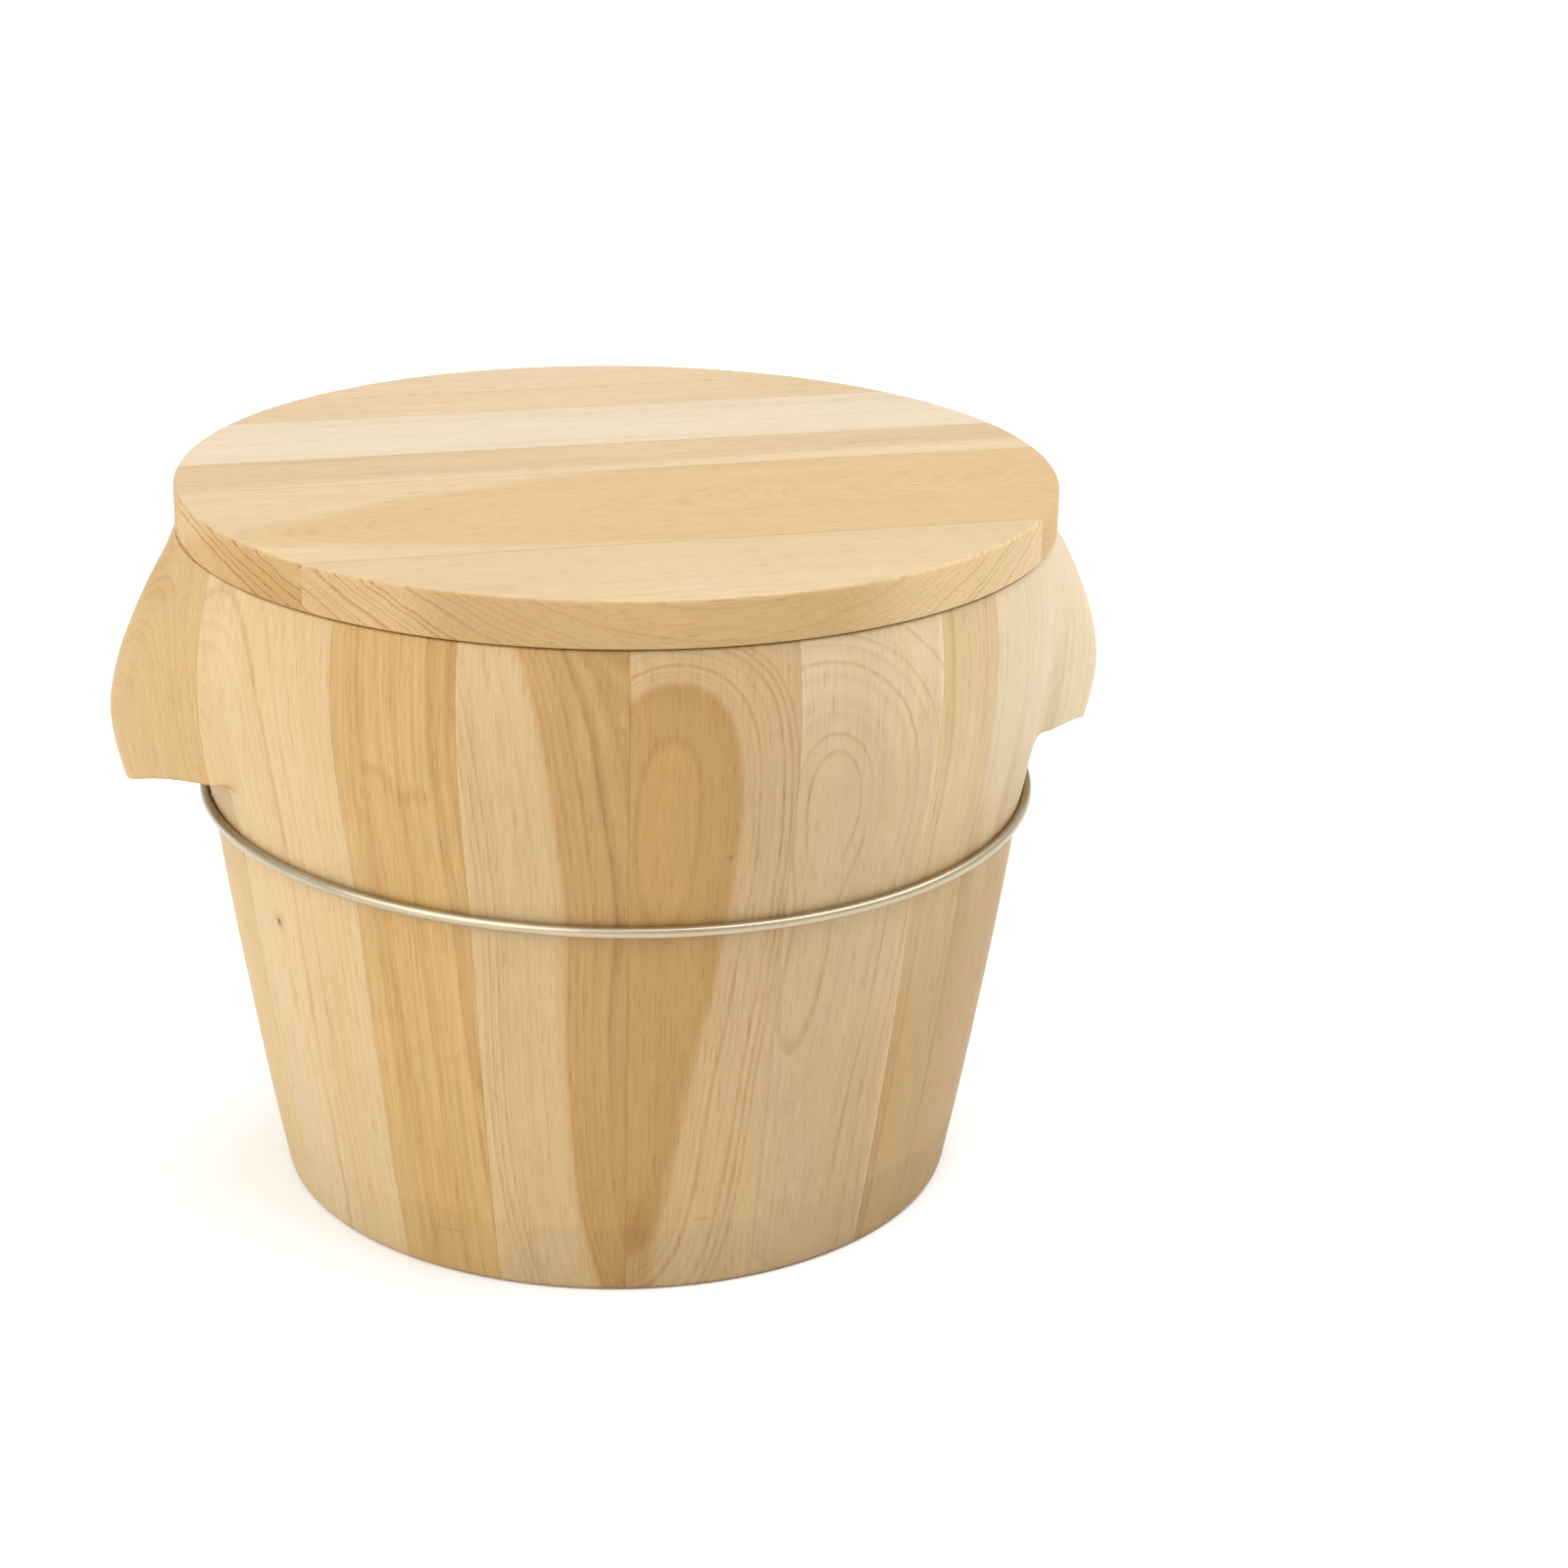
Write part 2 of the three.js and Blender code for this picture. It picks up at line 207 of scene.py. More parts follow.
def stave_section(theta, carved, ease):
    """The radial section of a stave, as points (r, z). ease draws it in for the fine chamfer along a joint."""
    out = []
    r0 = along(OUTSIDE, 0)
    for k in range(5):                                   # rounded foot
        a = math.radians(90 * k / 4)
        out.append((r0 - 2.2 + 2.2 * math.sin(a) + 0.4 * k / 4, 2.2 - 2.2 * math.cos(a)))
    if carved:
        for z in (8, 16, 24, 34, 44, 54, 64, 74, 84, 94, 104, 114, 124, 132, 140, 146, 151):
            out.append((along(OUTSIDE, z), z))
        out += ear_rows(theta, 26)
    else:
        for z in range(8, 246, 7):
            out.append((along(OUTSIDE, z), z))
        out.append((along(OUTSIDE, 246.5), 246.5))
    rim = outer(theta, BARREL_H)
    for k in range(4):                                   # rounded outer and inner edge of the rim
        a = math.radians(90 * k / 3)
        out.append((rim - 0.9 + 0.9 * math.cos(a) + 0.1, BARREL_H - 0.9 + 0.9 * math.sin(a)))
    mid = (rim + MOUTH_R) / 2
    out.append((mid, BARREL_H))
    for k in range(4):
        a = math.radians(90 * k / 3)
        out.append((MOUTH_R + 1.4 - 1.4 * math.sin(a), BARREL_H - 1.4 + 1.4 * math.cos(a)))
    for k in range(1, 10):                               # straight taper down to the ledge
        t = k / 10
        out.append((lerp(MOUTH_R, WALL_R_AT_LEDGE, t), lerp(BARREL_H - 1.4, LEDGE_Z, t)))
    out.append((WALL_R_AT_LEDGE + 0.1, LEDGE_Z + 1.0))
    out.append((WALL_R_AT_LEDGE - 0.9, LEDGE_Z))
    for k in range(4):
        a = math.radians(90 * k / 3)
        out.append((LEDGE_R + 1.0 - 1.0 * math.sin(a), LEDGE_Z - 1.0 + 1.0 * math.cos(a)))
    out += [(LEDGE_R - 0.4, 16), (FOOT_R + 0.5, 8)]
    for k in range(4):
        a = math.radians(90 * k / 3)
        out.append((FOOT_R + 1.0 - 1.0 * math.cos(a), 1.0 - 1.0 * math.sin(a)))
    if ease:
        drawn = []
        n = len(out)
        for i, p in enumerate(out):
            a, b = out[i - 1], out[(i + 1) % n]
            tx, tz = b[0] - a[0], b[1] - a[1]
            l = math.hypot(tx, tz) or 1.0
            drawn.append((p[0] - ease * tz / l, p[1] + ease * tx / l))
        out = drawn
    return out


def make_stave(name, start, end, material):
    carved = name.startswith(("ear", "flank"))
    gap = math.degrees(0.025 / 140)
    chamfer = math.degrees(0.12 / 150)
    t0, t1 = start + gap, end - gap
    thetas = [t0, t0 + chamfer]
    while thetas[-1] < t1 - chamfer:                     # closer together where the ear's lip runs out
        step = 1.7 if not carved else 0.45 if 14 < off_ear(thetas[-1]) < 26 else 1.1
        thetas.append(thetas[-1] + step)
    while thetas[-1] > t1 - chamfer - 0.3:
        thetas.pop()
    thetas += [t1 - chamfer, t1]
    columns = []
    for i, theta in enumerate(thetas):
        ease = 0.07 if i in (0, len(thetas) - 1) else 0.0
        s, c = math.sin(math.radians(theta)), -math.cos(math.radians(theta))
        columns.append([(r * s, r * c, z) for r, z in stave_section(theta, carved, ease)])
    verts, faces = sweep(columns)
    return piece(name + "_worked", verts, faces, "barrel", [name], "stave_wood", material, 40)


# ------------------------------------------------------------ lofts for the rest
def loft(outline, loops):
    """Points and faces of a solid: the outline drawn in by d at height z, for each (d, z)."""
    return sweep([[(x, y, z) for x, y in outline(d)] for d, z in loops])


def disc_strip(radius, y0, y1, seam_lo, seam_hi, step=1.6):
    """Outline of a strip of a disc. seam_lo and seam_hi are how far its straight sides draw in with d."""
    span = math.asin(min(y1 / radius, 1.0)) - math.asin(max(y0 / radius, -1.0))
    n = max(6, math.ceil(math.degrees(span) / step))

    def outline(d):
        r = radius - d
        lo = math.asin(max(min((y0 + d * seam_lo) / r, 1.0), -1.0))
        hi = math.asin(max(min((y1 - d * seam_hi) / r, 1.0), -1.0))
        right = [(r * math.cos(lerp(lo, hi, k / n)), r * math.sin(lerp(lo, hi, k / n))) for k in range(n + 1)]
        left = [(-x, y) for x, y in reversed(right)]
        if hi > math.radians(89.9):
            left = left[1:]
        if lo < math.radians(-89.9):
            left = left[:-1]
        return right + left
    return outline


def rounded_bar(cx, cy, w, l, corner):
    def outline(d):
        pts = []
        c = max(corner - d, 0.3)
        hw, hl = w / 2 - d, l / 2 - d
        for sx, sy, a0 in ((1, 1, 0), (-1, 1, 90), (-1, -1, 180), (1, -1, 270)):
            for k in range(5):
                a = math.radians(a0 + 90 * k / 4)
                pts.append((cx + sx * (hw - c) + c * math.cos(a), cy + sy * (hl - c) + c * math.sin(a)))
        return pts
    return outline


def eased(z0, z1, low, high, n=4):
    """Loops (d, z) for a slab from z0 to z1 with its lower and upper edges rounded."""
    loops = []
    for k in range(n + 1):
        a = math.radians(90 * k / n)
        loops.append((low - low * math.sin(a), z0 + low - low * math.cos(a)))
    for k in range(n + 1):
        a = math.radians(90 * k / n)
        loops.append((high - high * math.cos(a), z1 - high + high * math.sin(a)))
    return loops


# ------------------------------------------------------------------- materials
def srgb(r, g, b):
    def lin(c):
        c /= 255
        return c / 12.92 if c <= 0.04045 else ((c + 0.055) / 1.055) ** 2.4
    return (lin(r), lin(g), lin(b), 1.0)


class Graph:
    """A small hand for writing shader nodes."""

    def __init__(self, name):
        self.mat = bpy.data.materials.new(name)
        self.mat.use_nodes = True
        self.tree = self.mat.node_tree
        self.tree.nodes.clear()
        self.out = self.tree.nodes.new("ShaderNodeOutputMaterial")
        self.bsdf = self.tree.nodes.new("ShaderNodeBsdfPrincipled")
        self.tree.links.new(self.bsdf.outputs["BSDF"], self.out.inputs["Surface"])

    def put(self, socket, value):
        if isinstance(value, bpy.types.NodeSocket):
            self.tree.links.new(value, socket)
        else:
            socket.default_value = value

    def m(self, op, a, b=None, c=None):
        n = self.tree.nodes.new("ShaderNodeMath")
        n.operation = op
        for i, v in enumerate((a, b, c)):
            if v is not None:
                self.put(n.inputs[i], v)
        return n.outputs[0]

    def xyz(self, x, y, z):
        n = self.tree.nodes.new("ShaderNodeCombineXYZ")
        for i, v in enumerate((x, y, z)):
            self.put(n.inputs[i], v)
        return n.outputs[0]

    def split(self, vec):
        n = self.tree.nodes.new("ShaderNodeSeparateXYZ")
        self.put(n.inputs[0], vec)
        return n.outputs[0], n.outputs[1], n.outputs[2]

    def place(self):
        return self.split(self.tree.nodes.new("ShaderNodeTexCoord").outputs["Object"])

    def facing(self):
        return self.split(self.tree.nodes.new("ShaderNodeTexCoord").outputs["Normal"])

    def noise(self, vec, detail=2.0, rough=0.5, scale=1.0):
        n = self.tree.nodes.new("ShaderNodeTexNoise")
        n.noise_dimensions = "3D"
        self.put(n.inputs["Vector"], vec)
        n.inputs["Scale"].default_value = scale
        n.inputs["Detail"].default_value = detail
        n.inputs["Roughness"].default_value = rough
        return n.outputs["Fac"]

    def noise1(self, w, detail=1.0):
        n = self.tree.nodes.new("ShaderNodeTexNoise")
        n.noise_dimensions = "1D"
        self.put(n.inputs["W"], w)
        n.inputs["Scale"].default_value = 1.0
        n.inputs["Detail"].default_value = detail
        return n.outputs["Fac"]

    def hash1(self, w):
        n = self.tree.nodes.new("ShaderNodeTexWhiteNoise")
        n.noise_dimensions = "1D"
        self.put(n.inputs["W"], w)
        return n.outputs["Value"]

    def curve(self, t, terms):
        """A curve in t from its terms c0, c1, c2 ...: c0 + c1 t + c2 t^2 ... A plain number stays one."""
        if not isinstance(terms, tuple):
            return float(terms)
        value = float(terms[-1])
        for c in reversed(terms[:-1]):
            value = self.m("MULTIPLY_ADD", value, t, float(c))
        return value

    def step(self, x, a, b, lo=0.0, hi=1.0):
        n = self.tree.nodes.new("ShaderNodeMapRange")
        n.interpolation_type = "SMOOTHSTEP"
        self.put(n.inputs[0], x)
        for i, v in enumerate((a, b, lo, hi)):
            self.put(n.inputs[i + 1], v)
        return n.outputs[0]

    def mix(self, fac, a, b, mode="MIX"):
        n = self.tree.nodes.new("ShaderNodeMix")
        n.data_type = "RGBA"
        n.blend_type = mode
        n.clamp_factor = True
        self.put(n.inputs[0], fac)
        self.put(n.inputs[6], a)
        self.put(n.inputs[7], b)
        return n.outputs[2]

    def scale(self, colour, factor):
        n = self.tree.nodes.new("ShaderNodeVectorMath")
        n.operation = "SCALE"
        self.put(n.inputs[0], colour)
        self.put(n.inputs["Scale"], factor)
        return n.outputs[0]

    def bump(self, height, strength, distance):
        n = self.tree.nodes.new("ShaderNodeBump")
        n.inputs["Strength"].default_value = strength
        n.inputs["Distance"].default_value = distance
        self.put(n.inputs["Height"], height)
        self.put(self.bsdf.inputs["Normal"], n.outputs[0])


def tone(r, g, b):
    """A wood colour as it looks lit, brought down to what bare wood really throws back."""
    c = srgb(r, g, b)
    return (c[0] * 0.59, c[1] * 0.57, c[2] * 0.515, 1.0)


PALE, CREAM, TAN, HEART = tone(238, 208, 160), tone(243, 222, 186), tone(224, 186, 126), tone(206, 165, 105)
LATE = (0.62, 0.43, 0.20, 1.0)                           # late wood darkens what lies under it by this much
END = (0.90, 0.79, 0.585, 1.0)                           # and so does a face cut across the fibres


def wood(name, lie, seed, at=125.0, side=0.0, deep=28.0, turn=1.0, ring=3.0, uneven=1.0, rings=(), core=None, edge=2.0,
         pith=None, run=None, sap_and_lit_tone=PALE, heart_and_shade_tone=TAN, lines=0.3, ends=0.75, hair=0.10, soft=0.10, wander=1.6, streak=0.8, blots=(),
         strip=None, fade=None, tints=(), painted_light_ends=None, knot=None, foot=0.0, rim=False, butt=None, swing=0.0, light=1.0):
    """Solid wood sawn from a trunk. lie says how the piece lies in it: the pith runs along the piece, `side` across and
    `deep` off its face, each a number or a curve along the piece in steps of 100 mm from `at`. What shows on a face is
    where it cuts the year rings. rings are single strong ones as (radius, strength, width), with two places along the
    piece between which one comes in where it does not run right through. core is the radius where dark heartwood gives
    way to pale sapwood, run is where along the piece the darker tone gives way to the lighter one instead (on the right
    front staves and the right ear this is painted shade, darker low down and lighter up where the light falls), fade is
    a slow change of tone along it, tints are changes of colour as (from, to) across it, (from, to) along it and the
    colour, the lid's two cut ends can be lightened, a painted light where the lamps fall on its left and right edges,
    given as how much for each end with where the left one stops, foot is how much darker it is below about 28 mm up,
    butt is where the pith lies for its sawn edge, across and below the face, with how strongly the lines show at its
    left and right, swing is how far round the piece is turned, and blots are small marks as (across, along, half width,
    half length, strength)."""
    g = Graph(name)
    x, y, z = (g.m("MULTIPLY", c, 1000.0) for c in g.place())
    nx, ny, nz = g.facing()
    if swing:
        c, s = math.cos(math.radians(swing)), math.sin(math.radians(swing))
        (x, y), (nx, ny) = ((g.m("MULTIPLY_ADD", p, c, g.m("MULTIPLY", q, s)), g.m("MULTIPLY_ADD", q, c, g.m("MULTIPLY", p, -s)))
                            for p, q in ((x, y), (nx, ny)))
    if lie[0] == "stave":
        a = math.radians(lie[1])
        u = g.m("ADD", g.m("MULTIPLY", x, math.cos(a)), g.m("MULTIPLY", y, math.sin(a)))
        out = g.m("SUBTRACT", g.m("MULTIPLY", x, math.sin(a)), g.m("MULTIPLY", y, math.cos(a)))
        v = z
        depth = g.m("SUBTRACT", g.curve(g.m("MULTIPLY_ADD", z, 1 / 125, -1.0), (147.228, 18.604, 4.324, 5.477, -9.301, -8.816)), out)
        across = g.m("ABSOLUTE", nz)
    elif lie[0] == "plank":                              # along X, face up
        u, v = g.m("SUBTRACT", y, lie[1]), x
        depth = g.m("SUBTRACT", lie[2], z)
        across = g.m("SQRT", g.m("ADD", g.m("MULTIPLY", nx, nx), g.m("MULTIPLY", ny, ny))) if rim else g.m("ABSOLUTE", nx)
    else:                                                # along Y, face down
        u, v = g.m("SUBTRACT", x, lie[1]), y
        depth = g.m("SUBTRACT", z, lie[2])
        across = g.m("ABSOLUTE", ny)
    s = seed * 7.31

    def grain(wide, long, shift=0.0, detail=1.0, rough=0.5):
        """Noise drawn out along the fibres: about `wide` mm across them and `long` mm along."""
        return g.noise(g.xyz(g.m("MULTIPLY_ADD", u, 1 / wide, s + shift), g.m("MULTIPLY_ADD", v, 1 / long, s + shift * 0.7),
                             g.m("MULTIPLY", depth, 1 / wide)), detail, rough)

    end = g.step(across, 0.30, 0.85)
    # where the face cuts the trunk; the fibres wander a little, slowly along the piece
    far = g.m("MULTIPLY_ADD", v, 0.01, -0.01 * at)
    n1, n2, n3 = grain(45, 210), grain(45, 210, 31), grain(8, 60, 4)
    du = g.m("SUBTRACT", u, g.curve(far, side))
    du = g.m("ADD", du, g.m("MULTIPLY_ADD", n1, 4 * wander, -2 * wander))
    du = g.m("ADD", du, g.m("MULTIPLY_ADD", n3, 1.8, -0.9))
    dd = g.m("MULTIPLY_ADD", depth, turn, g.curve(far, deep))
    dd = g.m("ADD", dd, g.m("MULTIPLY_ADD", n2, 2 * wander, -wander))
    rho = g.m("SQRT", g.m("ADD", g.m("MULTIPLY", du, du), g.m("MULTIPLY", dd, dd)))
    # year rings of uneven width: soft towards the dark late wood, then a crisp end
    grown = rho
    if butt:
        bu = g.m("ADD", g.m("SUBTRACT", u, butt[0]), g.m("MULTIPLY_ADD", n1, 6.0, -3.0))
        bd = g.m("ADD", g.m("SUBTRACT", butt[1], depth), g.m("MULTIPLY_ADD", n3, 2.4, -1.2))
        sawn = g.m("SQRT", g.m("ADD", g.m("MULTIPLY", bu, bu), g.m("MULTIPLY", bd, bd)))
        grown = g.m("MULTIPLY_ADD", g.m("SUBTRACT", sawn, rho), g.m("GREATER_THAN", end, 0.5), rho)
    vary = g.noise1(g.m("MULTIPLY_ADD", grown, 0.16, s), 1.0)
    phase = g.m("MULTIPLY_ADD", grown, 1 / ring, g.m("MULTIPLY_ADD", vary, 2 * uneven, -uneven))
    frac = g.m("FRACT", phase)
    strong = g.m("MULTIPLY_ADD", g.hash1(g.m("ADD", g.m("FLOOR", phase), s)), 0.9, 0.1)
    thin = min(0.9 / ring, 0.4)
    late = g.m("MULTIPLY", g.step(frac, 1 - 1.6 * thin, 1 - 0.3 * thin), g.step(frac, 1 - 0.22 * thin, 1.0, 1.0, 0.0))
    broken = g.step(grain(2.5, 24, 17), 0.28, 0.62)
    whole = g.m("MINIMUM", g.m("MULTIPLY_ADD", end, 0.6, broken), 1.0)
    late = g.m("MULTIPLY", g.m("MULTIPLY", late, strong), whole)
    part = g.m("FRACT", g.m("MULTIPLY", phase, 3.37))
    faint = g.m("MULTIPLY", g.step(part, 0.55, 0.9), g.step(part, 0.93, 1.0, 1.0, 0.0))
    ramp = g.m("MULTIPLY", g.m("MULTIPLY", frac, frac), strong)
    cut = g.m("MULTIPLY", g.m("MULTIPLY", late, late), g.m("MULTIPLY", end, ends))
    if butt:
        cut = g.m("MULTIPLY", cut, g.m("MULTIPLY", g.step(v, -60, 60, *butt[2:]), g.step(g.m("ABSOLUTE", nx), 0.3, 0.66, 0.2, 1.0)))
    weight = g.m("MULTIPLY_ADD", late, lines, cut)
    for radius, strength, width, *comes in rings:
        line = g.m("MULTIPLY", g.step(rho, radius - 1.7 * width, radius - 0.2 * width), g.step(rho, radius, radius + 0.6 * width, strength, 0.0))
        if comes:
            line = g.m("MULTIPLY", line, g.step(v, *comes))
        weight = g.m("MULTIPLY_ADD", line, g.m("MULTIPLY_ADD", broken, 0.5, 0.5), weight)
    # colour: heartwood and sapwood (along three staves a painted shade from low to high instead), clouds of tone,
    # fibres and pores
    cloud = grain(15, 130, 3, 2.0)
    # with run the tone goes along the piece from the darker to the lighter one; on the right front staves and the right
    # ear that is painted shade, darker low down
    if run:
        base = g.mix(g.step(g.m("ADD", v, g.m("MULTIPLY_ADD", cloud, 60.0, -30.0)), *run), heart_and_shade_tone, sap_and_lit_tone)
    elif core is None:
        base = g.mix(g.step(g.m("ADD", g.m("MULTIPLY", n2, 0.5), g.m("MULTIPLY", cloud, 0.5)), 0.36, 0.64), sap_and_lit_tone, heart_and_shade_tone)
    else:
        base = g.mix(g.step(g.m("ADD", rho, g.m("MULTIPLY_ADD", n3, 1.6, -0.8)), core - edge, core + edge), heart_and_shade_tone, sap_and_lit_tone)
    fibre = grain(1.1, 60, 0, 2.0, 0.6)
    fine = grain(0.6, 11)
    pore = g.step(grain(0.5, 11, 50, 0.0), 0.64, 0.74)
    mottle = grain(6, 22, 70, 2.0)
    shade = g.m("MULTIPLY_ADD", cloud, 0.16, 0.92)
    shade = g.m("ADD", shade, g.m("MULTIPLY_ADD", mottle, 0.08, -0.04))
    shade = g.m("ADD", shade, g.m("MULTIPLY_ADD", fibre, 0.28 * streak, -0.14 * streak))
    shade = g.m("ADD", shade, g.m("MULTIPLY_ADD", fine, 0.15, -0.075))
    shade = g.m("SUBTRACT", shade, g.m("MULTIPLY", ramp, soft))
    if pith:
        radius, blur, gain = pith
        shade = g.m("ADD", shade, g.step(rho, radius - blur, radius + blur, gain, 0.0))
    if strip:
        angle, wide, gain = strip
        off = g.m("MULTIPLY_ADD", g.m("ARCTAN2", u, out), math.degrees(1.0) / wide, -angle / wide)
        shade = g.m("MULTIPLY_ADD", g.m("EXPONENT", g.m("MULTIPLY", g.m("MULTIPLY", off, off), -1.0)), gain, shade)
    if fade:
        start, stop, gain = fade
        shade = g.m("ADD", shade, g.step(v, start, stop, 0.0, gain))
    if foot:
        shade = g.m("SUBTRACT", shade, g.step(g.m("ADD", v, g.m("MULTIPLY", mottle, 3.0)), 27.2, 29.8, foot, 0.0))
    colour = g.scale(base, g.m("MULTIPLY", shade, light * (0.955 if lie[0] == "stave" else 1.0)))
    for us, vs, tint in tints:
        amount = g.step(v, *vs)
        if us:
            amount = g.m("MULTIPLY", amount, g.step(u, *us))
        colour = g.mix(amount, colour, (*tint, 1.0), "MULTIPLY")
    for across_at, along_at, half_w, half_l, strength in blots:
        bu = g.m("MULTIPLY_ADD", u, 1 / half_w, -across_at / half_w)
        bv = g.m("MULTIPLY_ADD", v, 1 / half_l, -along_at / half_l)
        near = g.m("SQRT", g.m("ADD", g.m("MULTIPLY", bu, bu), g.m("MULTIPLY", bv, bv)))
        near = g.m("ADD", near, g.m("ADD", g.m("MULTIPLY_ADD", fibre, 1.6, -0.8), g.m("MULTIPLY_ADD", mottle, 1.6, -0.8)))
        weight = g.m("ADD", weight, g.step(near, 0.4, 1.3, strength, 0.0))
    weight = g.m("MULTIPLY_ADD", faint, hair, weight)
    weight = g.m("MULTIPLY_ADD", pore, 0.22, weight)
    colour = g.mix(weight, colour, LATE, "MULTIPLY")
    # the lid's two cut ends are lightened: a painted light where the key and fill lamps fall on its left and right
    # edges
    if painted_light_ends:
        paler = g.m("ADD", g.step(v, *(painted_light_ends[2:] or (-159, -135)), painted_light_ends[0], 0.0), g.step(v, 28, 85, 0.0, 0.7 * painted_light_ends[1]))
        paler = g.m("ADD", paler, g.step(v, 85, 155, 0.0, 0.3 * painted_light_ends[1]))
        colour = g.scale(colour, g.m("MULTIPLY_ADD", g.m("MULTIPLY", paler, end), 0.5, 1.0))
        end = g.m("MULTIPLY", end, g.m("SUBTRACT", 1.0, paler))
    colour = g.mix(end, colour, END, "MULTIPLY")
    if knot:
        ku, kv, size = knot
        dx = g.m("MULTIPLY", g.m("SUBTRACT", u, ku), 1 / size)
        dz = g.m("MULTIPLY", g.m("SUBTRACT", v, kv), 0.8 / size)
        away = g.m("SQRT", g.m("ADD", g.m("MULTIPLY", dx, dx), g.m("MULTIPLY", dz, dz)))
        away = g.m("ADD", away, g.m("MULTIPLY_ADD", fine, 0.5, -0.25))
        colour = g.mix(g.step(away, 0.8, 3.2, 0.25, 0.0), colour, LATE, "MULTIPLY")
        colour = g.mix(g.step(away, 0.4, 1.1, 0.85, 0.0), colour, tone(128, 92, 54))
    g.put(g.bsdf.inputs["Base Color"], colour)
    rough = g.m("MULTIPLY_ADD", fibre, 0.16, 0.46)
    rough = g.m("ADD", rough, g.m("MULTIPLY", pore, 0.12))
    g.put(g.bsdf.inputs["Roughness"], g.m("ADD", rough, g.m("MULTIPLY", end, 0.18)))
    g.bsdf.inputs["Specular IOR Level"].default_value = 0.3
    relief = g.m("ADD", g.m("MULTIPLY", fine, 0.5), g.m("MULTIPLY", fibre, 0.6))
    relief = g.m("SUBTRACT", relief, g.m("MULTIPLY", pore, 0.6))
    relief = g.m("ADD", relief, g.m("MULTIPLY", late, 0.3))
    g.bump(relief, 0.35, 0.00012)
    return g.mat


def steel(name):
    """Drawn wire gone a little dull: fine drawing lines round the hoop, uneven in gloss."""
    g = Graph(name)
    x, y, z = (g.m("MULTIPLY", c, 1000.0) for c in g.place())
    angle = g.m("ARCTAN2", y, x)
    r = g.m("SQRT", g.m("ADD", g.m("MULTIPLY", x, x), g.m("MULTIPLY", y, y)))
    draw = g.noise(g.xyz(g.m("MULTIPLY", r, 4.0), g.m("MULTIPLY", z, 4.0), g.m("MULTIPLY", angle, 9.0)), 2.0, 0.6)
    cloud = g.noise(g.xyz(g.m("MULTIPLY", x, 0.06), g.m("MULTIPLY", y, 0.06), g.m("MULTIPLY", z, 0.3)), 3.0)
    colour = g.mix(cloud, srgb(157, 145, 120), srgb(181, 169, 143))
    colour = g.mix(g.m("MULTIPLY", g.step(draw, 0.55, 0.75), 0.3), colour, srgb(122, 109, 86))
    g.put(g.bsdf.inputs["Base Color"], colour)
    g.bsdf.inputs["Metallic"].default_value = 0.78
    g.put(g.bsdf.inputs["Roughness"], g.m("MULTIPLY_ADD", cloud, 0.2, 0.2))
    g.bump(draw, 0.25, 0.00008)
    return g.mat


def bamboo(name):
    """Scraped bamboo pegs: close straight fibres with darker bundles."""
    g = Graph(name)
    x, y, z = (g.m("MULTIPLY", c, 1000.0) for c in g.place())
    fibres = g.noise(g.xyz(g.m("MULTIPLY", x, 2.2), g.m("MULTIPLY", y, 2.2), g.m("MULTIPLY", z, 0.12)), 2.0, 0.6)
    spots = g.noise(g.xyz(g.m("MULTIPLY", x, 1.4), g.m("MULTIPLY", y, 1.4), g.m("MULTIPLY", z, 0.05)), 1.0)
    colour = g.mix(g.step(fibres, 0.3, 0.7), srgb(190, 150, 88), srgb(222, 190, 128))
    colour = g.mix(g.m("MULTIPLY", g.step(spots, 0.58, 0.66), 0.5), colour, srgb(140, 98, 50))
    g.put(g.bsdf.inputs["Base Color"], colour)
    g.put(g.bsdf.inputs["Roughness"], g.m("MULTIPLY_ADD", fibres, 0.25, 0.38))
    g.bump(fibres, 0.4, 0.0001)
    return g.mat


